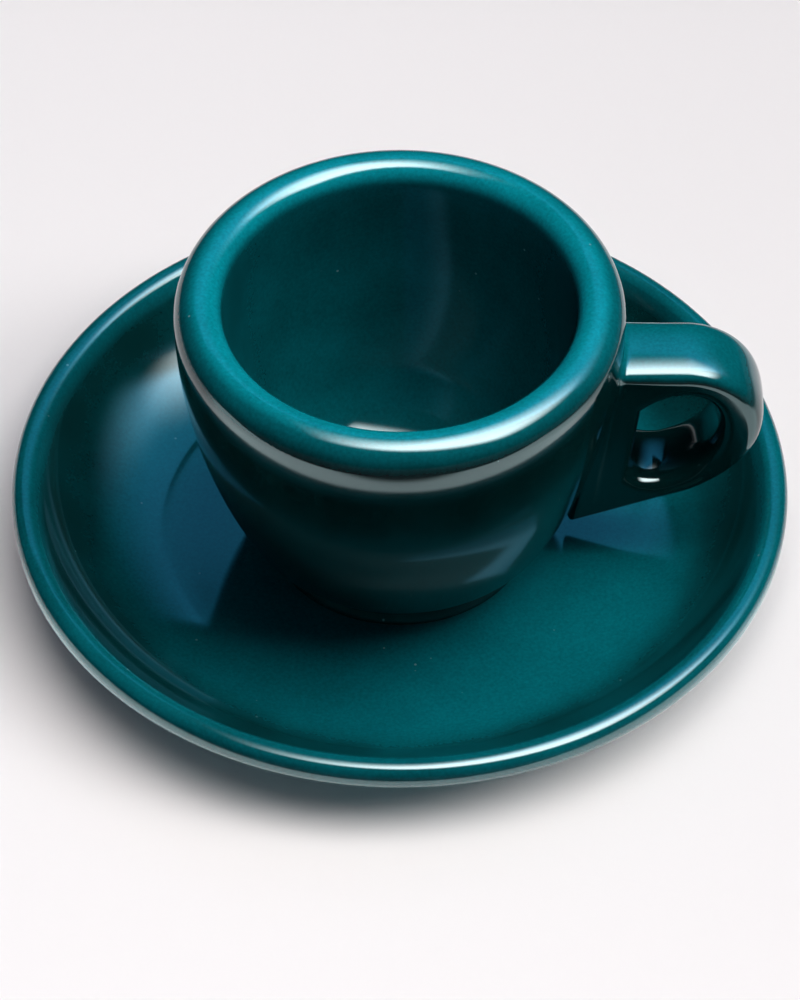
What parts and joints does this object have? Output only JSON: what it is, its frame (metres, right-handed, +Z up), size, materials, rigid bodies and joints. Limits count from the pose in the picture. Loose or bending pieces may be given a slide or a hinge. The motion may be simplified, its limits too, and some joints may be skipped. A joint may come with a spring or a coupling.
{
  "type": "espresso cup with saucer",
  "caption": "Small thick-walled glazed espresso cup with a rounded lip and a ring handle, standing loose on a shallow round saucer with a turned-up rim.",
  "frame": {"origin": "on the table, under the middle of the saucer's standing ring", "axes": "+Z up along the axis of the saucer and the cup, +X out through the cup's handle"},
  "size_m": [0.12, 0.12, 0.0586],
  "materials": {
    "glaze": "glossy deep teal glaze"
  },
  "bodies": {
    "saucer": {"saucer": "glaze"},
    "cup": {"cup_body": "glaze", "handle": "glaze"}
  },
  "joints": [
    {"name": "cup_lift", "type": "slide", "parent": "saucer", "child": "cup", "axis": [0, 0, 1], "range_m": [0, 0.06]}
  ]
}
